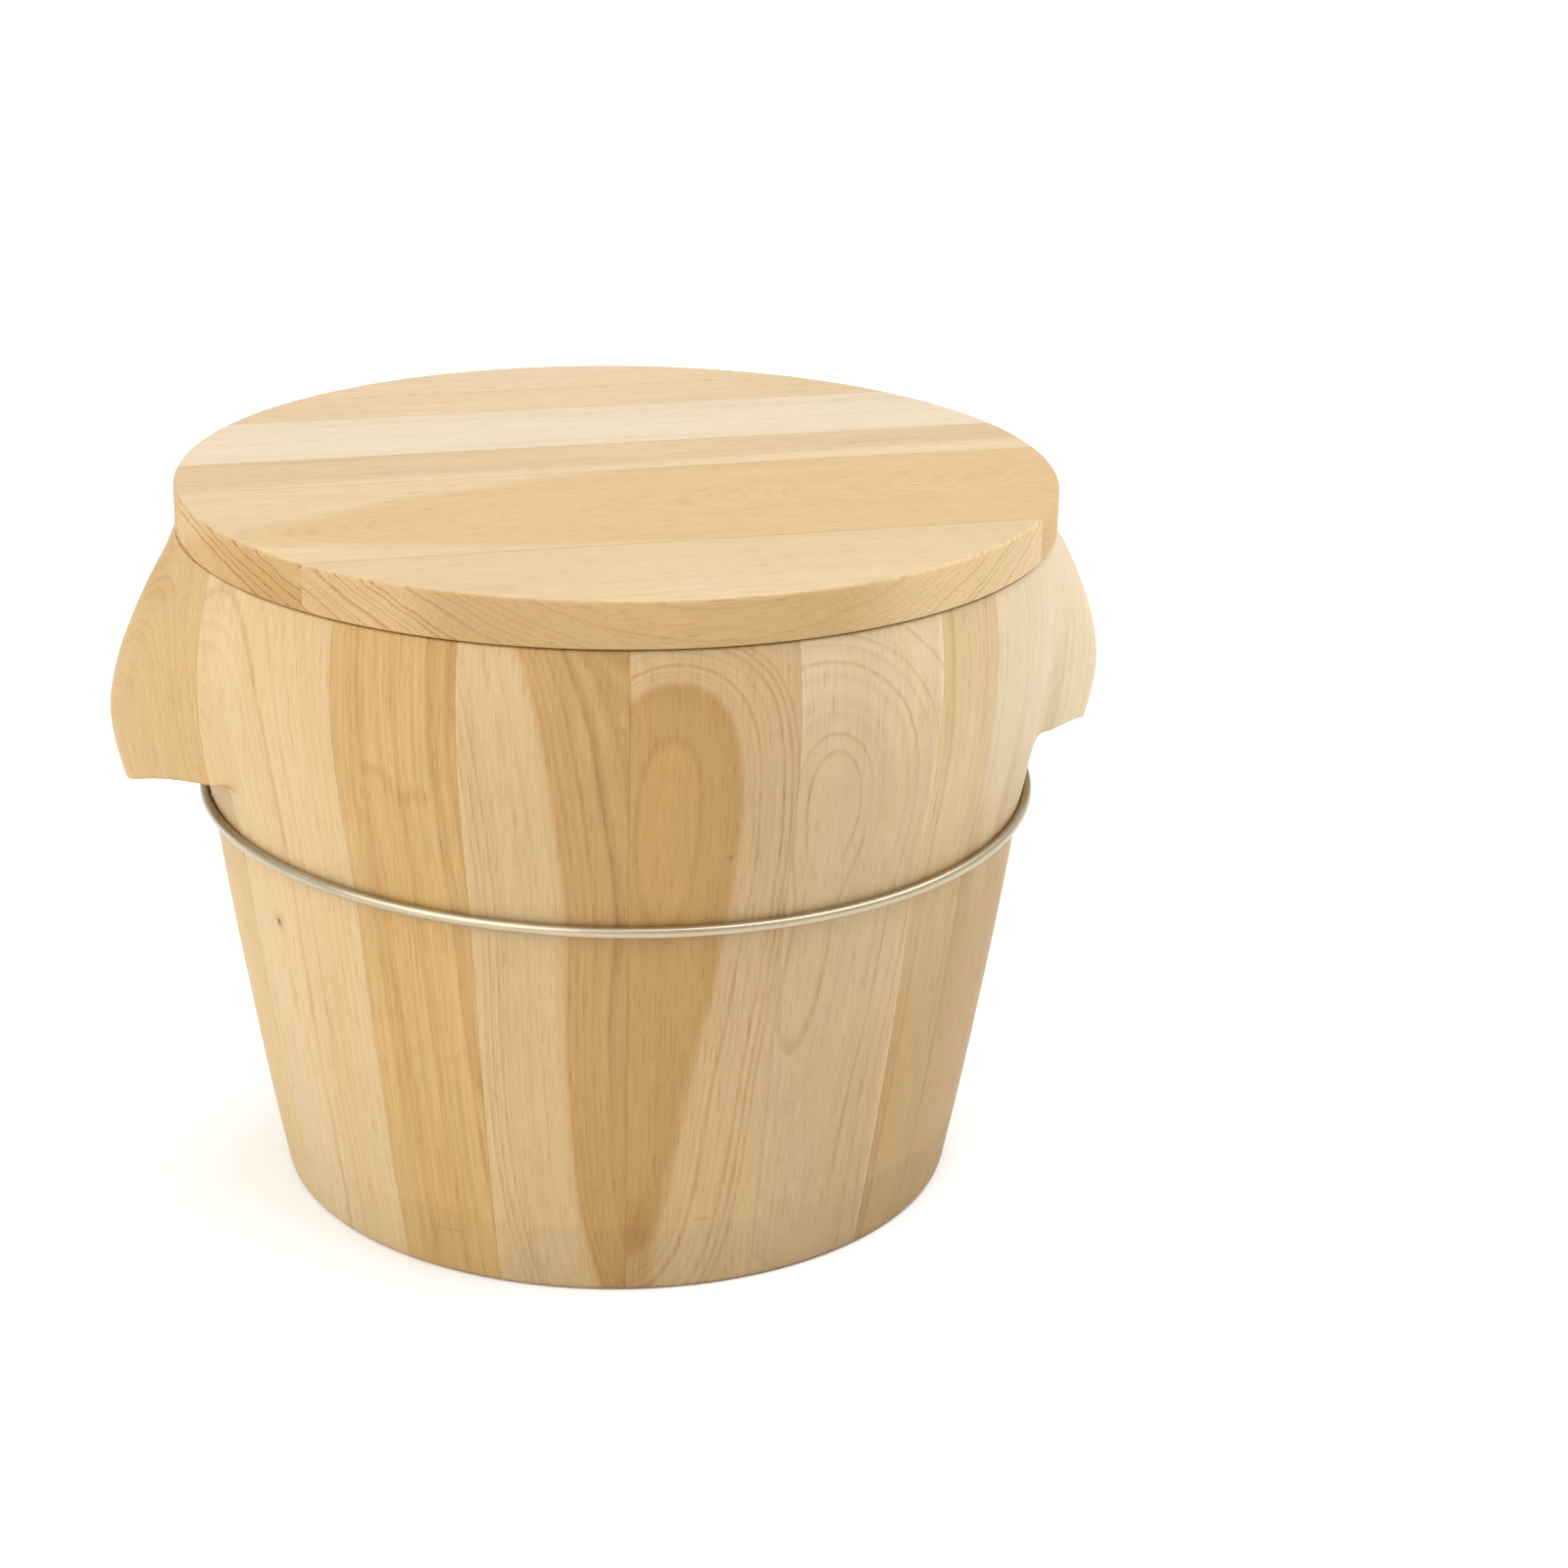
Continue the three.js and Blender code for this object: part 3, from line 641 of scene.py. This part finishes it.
# ---------------------------------------------------------------------- barrel
LOOK = {
    "ear_stave_left": dict(seed=1, side=30, deep=70, ring=3.6, run=(170, 40), sap_and_lit_tone=tone(243, 213, 156), heart_and_shade_tone=tone(230, 195, 138), lines=0.10, hair=0.07, foot=0.02, light=0.93),
    "flank_stave_front_left": dict(seed=2, at=190, side=(-32.33, 5.57, 5.08, 2.18), deep=(37.35, 7.33, 15.38, 11.31, 2.49), ring=5.6,
                                   rings=((50.5, 0.34, 1.1), (57.5, 0.2, 0.9), (63.0, 0.17, 0.9), (48.6, 0.12, 0.8), (68.0, 0.1, 0.9)),
                                   sap_and_lit_tone=tone(239, 209, 165), heart_and_shade_tone=tone(231, 199, 151), lines=0.09, soft=0.05, wander=0.8, knot=(-12.3, 125.4, 1.5), foot=0.02,
                                   tints=((None, (100, 30), (0.99, 1.02, 1.05)), ((-4, 6), (150, 90), (0.97, 0.95, 0.92))), light=1.0),
    "front_stave_1": dict(seed=3, side=(70, -2.7), deep=24, ring=3.4,
                          rings=((83.5, 0.3, 2.2), (76.5, 0.14, 1.6), (70.5, 0.3, 2.4), (64.0, 0.16, 1.4), (57.5, 0.26, 3.6), (52.2, 0.3, 2.0), (88.0, 0.16, 1.6)),
                          blots=((-9.0, 201, 5.0, 3.2, 0.22), (2.6, 193, 3.6, 4.0, 0.22), (8.5, 195, 4.5, 3.6, 0.18), (-2.6, 197, 1.8, 5.5, 0.2), (4.0, 19, 6.0, 0.6, 0.3)),
                          sap_and_lit_tone=tone(226, 187, 126), heart_and_shade_tone=tone(217, 175, 110), lines=0.2, streak=1.6, fade=(150, 30, 0.09),
                          tints=((None, (120, 40), (0.95, 0.98, 1.0)),), foot=0.065, light=0.97),
    "front_stave_2": dict(seed=4, side=(50.74, -4.59, 0.18, -5.86), deep=(40.36, 6.48, -3.36), ring=2.6,
                          rings=((60.0, 0.34, 0.8), (58.3, 0.22, 0.7), (54.6, 0.26, 0.8, 40, 150), (51.3, 0.38, 0.9, 20, 160), (48.3, 0.28, 0.9, 20, 160),
                                 (46.4, 0.24, 0.8, 20, 160), (82.8, 0.3, 0.7), (79.8, 0.28, 0.7), (84.8, 0.24, 0.6), (77.2, 0.17, 0.6)),
                          core=61.0, edge=2.2, sap_and_lit_tone=tone(231, 199, 152), heart_and_shade_tone=tone(213, 172, 112), lines=0.12, soft=0.07, wander=0.5,
                          tints=(((4, 14), (150, 20), (0.98, 0.96, 0.86)), (None, (200, 245), (1.03, 1.05, 1.1))),
                          blots=((26.5, 226.5, 2.2, 2.6, -0.3),), foot=0.05, light=0.91),
    "front_stave_3": dict(seed=5, at=190, side=(-15.82, 1.32, -2.69, 0.25), deep=(4.35, 0.29, 52.87, 53.33, 15.23), ring=4.2,
                          rings=((24.4, 0.24, 2.4), (31.4, 0.46, 0.9), (40.0, 0.42, 0.9), (42.8, 0.34, 0.7), (45.2, 0.34, 0.9), (27.6, 0.16, 0.6), (29.2, 0.14, 0.6),
                                 (36.2, 0.12, 0.8), (12.2, 0.24, 1.2)),
                          core=25.0, edge=3.0, pith=(11.6, 2.0, 0.07), sap_and_lit_tone=tone(224, 191, 146), heart_and_shade_tone=tone(207, 165, 102), lines=0.08, hair=0.06, soft=0.05, wander=0.35,
                          tints=((None, (120, 30), (0.96, 0.97, 0.94)), ((-9, -17), (48, 22), (0.88, 0.8, 0.66))),
                          blots=((6.3, 175.5, 3.2, 0.7, 0.4), (3.3, 29.5, 5.0, 0.45, 0.35), (-20.1, 78, 2.0, 3.0, -0.2)), fade=(140, 40, 0.06), foot=0.07, light=0.92),
    # front_stave_4: its first two tints paint light, a lighter top and upper middle where the light falls
    "front_stave_4": dict(seed=6, at=190, side=(-20.39, -3.47, -28.36, -15.13, 1.03), deep=(60.77, -0.14, 14.59, 34.85, 28.83, 7.43, 0.2), ring=6.0,
                          rings=((62.72, 0.4, 0.16, 160, 180), (63.99, 0.34, 0.2), (74.0, 0.38, 0.6, 18, 48), (81.1, 0.32, 0.6), (89.7, 0.3, 0.7),
                                 (67.6, 0.12, 1.4, 50, 90), (71.5, 0.1, 1.0, 40, 90), (78.0, 0.12, 0.8)),
                          sap_and_lit_tone=tone(231, 203, 163), heart_and_shade_tone=tone(224, 193, 148), lines=0.05, hair=0.05, soft=0.04, wander=0.2, strip=(10.25, 0.4, 0.14), fade=(120, 40, -0.04),
                          tints=((None, (188, 240), (1.13, 1.17, 1.32)), ((-10, 14), (140, 205), (1.1, 1.13, 1.13)), ((0, 14), (120, 60), (0.97, 0.96, 0.9))), foot=0.05, light=0.91),
    # front_stave_5, flank_stave_front_right and ear_stave_right: their run paints shade, darker low down and lighter up
    # where the light falls
    "front_stave_5": dict(seed=7, side=-62, deep=20, ring=3.0, rings=((56.5, 0.2, 4.0), (50.5, 0.12, 2.0)), run=(70, 215), sap_and_lit_tone=tone(241, 211, 165),
                          heart_and_shade_tone=tone(211, 176, 121), lines=0.14, foot=0.09, light=0.96),
    "flank_stave_front_right": dict(seed=8, side=12, deep=44, ring=5.0, run=(118, 215), sap_and_lit_tone=tone(249, 228, 194), heart_and_shade_tone=tone(210, 175, 121), lines=0.12, soft=0.05, foot=0.09, light=0.95),
    "ear_stave_right": dict(seed=9, side=-26, deep=70, ring=3.6, run=(60, 190), sap_and_lit_tone=tone(248, 226, 192), heart_and_shade_tone=tone(228, 196, 147), lines=0.12, foot=0.07),
    "flank_stave_back_right": dict(seed=10, side=4, deep=34, ring=3.8, sap_and_lit_tone=PALE, heart_and_shade_tone=tone(229, 195, 145), lines=0.24, foot=0.07, light=0.92),
    "back_stave_1": dict(seed=11, side=-54, deep=26, ring=2.8, sap_and_lit_tone=tone(228, 192, 138), heart_and_shade_tone=TAN, lines=0.3, streak=1.2, foot=0.07, light=0.92),
    "back_stave_2": dict(seed=12, at=180, side=(8, 2, 6, 1), deep=(6, 1, 46, 40, 11), ring=4.4, core=22, edge=3.0, pith=(10, 2, 0.06),
                         rings=((22, 0.24, 2.2), (29, 0.55, 0.9), (35.5, 0.45, 0.9), (40, 0.4, 0.8)), sap_and_lit_tone=tone(230, 198, 150), heart_and_shade_tone=HEART, lines=0.1, wander=0.5, foot=0.07, light=0.92),
    "back_stave_3": dict(seed=13, side=56, deep=28, ring=2.6, sap_and_lit_tone=PALE, heart_and_shade_tone=tone(229, 195, 144), lines=0.26, foot=0.07, light=0.92),
    "back_stave_4": dict(seed=14, at=150, side=(-6, 4, -5), deep=(40, 1, 12, 6), ring=6.5, rings=((41.0, 0.4, 0.4), (43.5, 0.4, 0.5), (48, 0.4, 0.7), (54, 0.35, 0.8), (60, 0.35, 0.8)),
                         sap_and_lit_tone=tone(230, 197, 150), heart_and_shade_tone=TAN, lines=0.08, wander=0.5, foot=0.07, light=0.92),
    "back_stave_5": dict(seed=15, side=-60, deep=20, ring=2.6, sap_and_lit_tone=TAN, heart_and_shade_tone=tone(217, 175, 115), lines=0.26, streak=1.3, foot=0.07, light=0.92),
    "flank_stave_back_left": dict(seed=16, side=14, deep=38, ring=4.2, sap_and_lit_tone=CREAM, heart_and_shade_tone=PALE, lines=0.2, foot=0.07, light=0.92),
}
for name, start, end in STAVES:
    make_stave(name, start, end, wood("wood_" + name, ("stave", (start + end) / 2), **LOOK[name]))

bamboo_mat = bamboo("bamboo")
for name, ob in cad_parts.items():
    if name.startswith("joint_pin"):
        ob.data.materials.clear()
        ob.data.materials.append(bamboo_mat)

# the hoop: one wire, butted and welded at the back, pushed up by hand and a little out of level
columns = []
N, M = 288, 14
for i in range(N):
    a = 2 * math.pi * i / N
    swell = WIRE_R * (1 + 0.12 * math.exp(-((a - math.pi) / 0.012) ** 2))
    z0 = 150.2 - 0.29 * math.sin(a) - 0.97 * math.cos(a) - 0.5 * math.cos(2 * a) - 0.75 * math.sin(2 * a)
    r0 = along(OUTSIDE, z0) + WIRE_R + HOOP_FREE + 0.02 * math.sin(3 * a + 1)
    ring = []
    for j in range(M):
        b = 2 * math.pi * j / M
        r = r0 + swell * math.cos(b)
        ring.append((r * math.sin(a), -r * math.cos(a), z0 + swell * math.sin(b)))
    columns.append(ring)
piece("wire_hoop_drawn", *sweep(columns, closed=True), "barrel", ["wire_hoop"], "hoop_steel", steel("hoop_steel"), 180)

# ------------------------------------------------------------------------- lid
# each plank's two cut ends are lightened in colour: a painted light where the lamps fall on the lid's left and right
# edges
LID_LOOK = [
    dict(seed=21, at=0, side=52, deep=30, turn=-1, ring=3.4, sap_and_lit_tone=tone(238, 213, 180), heart_and_shade_tone=tone(231, 203, 166), lines=0.10, soft=0.06, painted_light_ends=(0.3, 0.6), light=0.88),
    dict(seed=22, at=0, side=-14, deep=70, turn=-1, ring=4.6, sap_and_lit_tone=tone(244, 230, 207), heart_and_shade_tone=tone(241, 223, 196), lines=0.06, soft=0.04, painted_light_ends=(0.3, 0.6), light=0.83),
    dict(seed=23, at=0, side=(-60, 4.5), deep=24, ring=3.0, core=54.5, edge=3.4, sap_and_lit_tone=tone(233, 204, 165), heart_and_shade_tone=tone(243, 220, 186), lines=0.12, soft=0.07, wander=1.0,
         blots=((15.5, -112, 1.2, 42, 0.2), (9.0, -102, 1.0, 12, 0.3), (12.0, 40, 0.9, 30, 0.12)), painted_light_ends=(0.3, 0.6), light=0.83),
    dict(seed=24, at=-134, side=(-8, 5), deep=(76, -10.6), turn=-1, ring=3.0, uneven=1.1, core=76, edge=3.2, sap_and_lit_tone=tone(239, 212, 173), heart_and_shade_tone=tone(233, 199, 150),
         lines=0.05, ends=1.55, soft=0.04, wander=2.6, butt=(38.6, 183, 1.0, 0.35), painted_light_ends=(0.3, 0.55), light=0.83),
    dict(seed=25, at=0, side=-42, deep=38, ring=1.9, sap_and_lit_tone=tone(241, 216, 179), heart_and_shade_tone=tone(235, 206, 166), lines=0.08, ends=0.75, soft=0.06, butt=(120.5, 156, 1.0, 0.65), painted_light_ends=(0.23, 0.85, -104, -88), light=0.82),
]
for i in range(5):
    y1, y0 = LID_SEAMS[i], LID_SEAMS[i + 1]
    y1, y0 = y1 - (0.03 if i else 0), y0 + (0.03 if i < 4 else 0)
    outline = disc_strip(LID_R, y0, y1, 0.08 if i < 4 else 1.0, 0.08 if i else 1.0)
    loops = eased(LID_Z, LID_Z + LID_T, 0.8, 1.6)
    mat = wood("wood_lid_%d" % (i + 1), ("plank", (LID_SEAMS[i] + LID_SEAMS[i + 1]) / 2, LID_Z + LID_T), rim=True, swing=LID_TURN, **LID_LOOK[i])
    piece("lid_plank_%d_worked" % (i + 1), *loft(outline, loops), "lid", ["lid_plank_%d" % (i + 1)], "lid_wood", mat, 30)

for k, (hand, x) in enumerate((("left", -BATTEN_X), ("right", BATTEN_X))):
    mat = wood("wood_batten_" + hand, ("bar", x, LID_Z - BATTEN_T), 31 + k, side=30 - 55 * k, deep=22, ring=2.8, lines=0.4, swing=LID_TURN)
    loops = eased(LID_Z - BATTEN_T - 0.2, LID_Z - 0.05, 2.4, 0.3)
    piece("lid_batten_%s_worked" % hand, *loft(rounded_bar(x, 0, BATTEN_W, 2 * BATTEN_HALF, 3.0), loops), "lid",
          ["lid_batten_" + hand], "batten_wood", mat, 30)
    for i, y in enumerate(PEG_Y):
        def ring_of(d, x=x, y=y):
            return [(x + (3.2 - d) * math.cos(a * math.pi / 12), y + (3.2 - d) * math.sin(a * math.pi / 12)) for a in range(24)]
        z0 = LID_Z - BATTEN_T - 0.2
        piece("batten_peg_%s_%d_cut" % (hand, i + 1), *loft(ring_of, [(1.6, z0 - 0.75), (0.7, z0 - 0.6), (0.1, z0 - 0.2), (0, z0 + 0.4), (0, 258.9)]),
              "lid", ["batten_peg_%s_%d" % (hand, i + 1)], "bamboo", bamboo_mat, 50)

# ----------------------------------------------------------------------- grate
for i in range(SLATS):
    yc = (i - (SLATS - 1) / 2) * SLAT_PITCH
    y0, y1 = max(yc - SLAT_W / 2, -SLAT_R), min(yc + SLAT_W / 2, SLAT_R)
    mat = wood("wood_slat_%d" % (i + 1), ("plank", yc, SLAT_Z + SLAT_T), 41 + i, side=(-1) ** i * (14 + 9 * i), deep=20 + 3 * i, ring=2.8,
               sap_and_lit_tone=PALE if i % 3 else TAN, lines=0.4)
    piece("grate_slat_%d_worked" % (i + 1), *loft(disc_strip(SLAT_R, y0, y1, 1.0, 1.0, 2.5), eased(SLAT_Z, SLAT_Z + SLAT_T, 0.9, 1.6)),
          "steam_grate", ["grate_slat_%d" % (i + 1)], "grate_wood", mat, 30)

for k, (hand, x) in enumerate((("left", -BEARER_X), ("right", BEARER_X))):
    top, low, shelf = BEARER_Z + BEARER_T, BEARER_Z, BEARER_Z + BEARER_T - HOUSING
    xs = [x - BEARER_W / 2 + BEARER_W * j / 6 for j in range(7)]
    columns = []
    for j, xx in enumerate(xs):
        e = 0.7 if j in (0, 6) else 0.0
        reach = math.sqrt(BEARER_R ** 2 - xx ** 2) - e
        pts = [(-reach, low + 0.7 + e), (-reach + 0.7, low + e), (reach - 0.7, low + e), (reach, low + 0.7 + e), (reach, shelf - e)]
        for i in reversed(range(SLATS - 1)):
            gap_mid = (i - (SLATS - 2) / 2) * SLAT_PITCH
            hw = (SLAT_PITCH - SLAT_W) / 2 - 0.15 - e * 0.5
            pts += [(gap_mid + hw, shelf - e), (gap_mid + hw, top - 0.5 - e), (gap_mid + hw - 0.5, top - e),
                    (gap_mid - hw + 0.5, top - e), (gap_mid - hw, top - 0.5 - e), (gap_mid - hw, shelf - e)]
        pts.append((-reach, shelf - e))
        columns.append([(xx, yy, zz) for yy, zz in pts])
    mat = wood("wood_bearer_" + hand, ("bar", x, BEARER_Z), 51 + k, side=24 - 40 * k, deep=20, ring=2.6, lines=0.4)
    piece("grate_bearer_%s_worked" % hand, *sweep(columns), "steam_grate", ["grate_bearer_" + hand], "grate_wood", mat, 30)

# ------------------------------------------------------- floor, light and camera
floor_mesh = bpy.data.meshes.new("floor")
floor_mesh.from_pydata([(-60, -60, 0), (60, -60, 0), (60, 60, 0), (-60, 60, 0)], [], [(0, 1, 2, 3)])
floor = bpy.data.objects.new("floor", floor_mesh)
bpy.context.scene.collection.objects.link(floor)
fg = Graph("floor_white")
fx, fy, fz = fg.place()
cloud = fg.noise(fg.xyz(fg.m("MULTIPLY", fx, 1.3), fg.m("MULTIPLY", fy, 1.3), 0.0), 2.0)
fg.put(fg.bsdf.inputs["Base Color"], fg.mix(cloud, (0.83, 0.83, 0.828, 1), (0.85, 0.85, 0.848, 1)))
fg.bsdf.inputs["Roughness"].default_value = 0.85
fg.bsdf.inputs["Specular IOR Level"].default_value = 0.1
floor_mesh.materials.append(fg.mat)

world = bpy.data.worlds.new("studio")
world.use_nodes = True
world.node_tree.nodes["Background"].inputs[0].default_value = (1.0, 0.995, 0.985, 1)
world.node_tree.nodes["Background"].inputs[1].default_value = 0.80
bpy.context.scene.world = world


def lamp(name, toward_deg, height_deg, strength, spread, colour=(1, 1, 1)):
    """A broad soft light from far off: toward_deg from the front (-Y) towards +X, height_deg above the floor."""
    data = bpy.data.lights.new(name, "SUN")
    data.energy = strength
    data.angle = math.radians(spread)
    data.color = colour
    ob = bpy.data.objects.new(name, data)
    t, h = math.radians(toward_deg), math.radians(height_deg)
    way = Vector((math.sin(t) * math.cos(h), -math.cos(t) * math.cos(h), math.sin(h)))
    ob.location = way * 3
    ob.rotation_euler = (-way).to_track_quat("-Z", "Y").to_euler()
    bpy.context.scene.collection.objects.link(ob)
    return ob


lamp("key", -58, 38, 2.35, 60)
lamp("fill", 95, 66, 2.8, 60)

cam = bpy.data.cameras.new("camera")
cam.sensor_fit = "AUTO"
cam.sensor_width = 36.0
cam.lens = 76.544
cam.clip_end = 100
camera = bpy.data.objects.new("camera", cam)
camera.location = (-0.22933, -1.14965, 0.58737)
aim = (Vector((0.06411, 0, 0.13974)) - camera.location).to_track_quat("-Z", "Y")
camera.rotation_euler = (aim @ Quaternion((0, 0, 1), math.radians(1.197))).to_euler()
bpy.context.scene.collection.objects.link(camera)
bpy.context.scene.camera = camera

bpy.context.scene.view_settings.view_transform = "Standard"
bpy.context.scene.view_settings.look = "None"
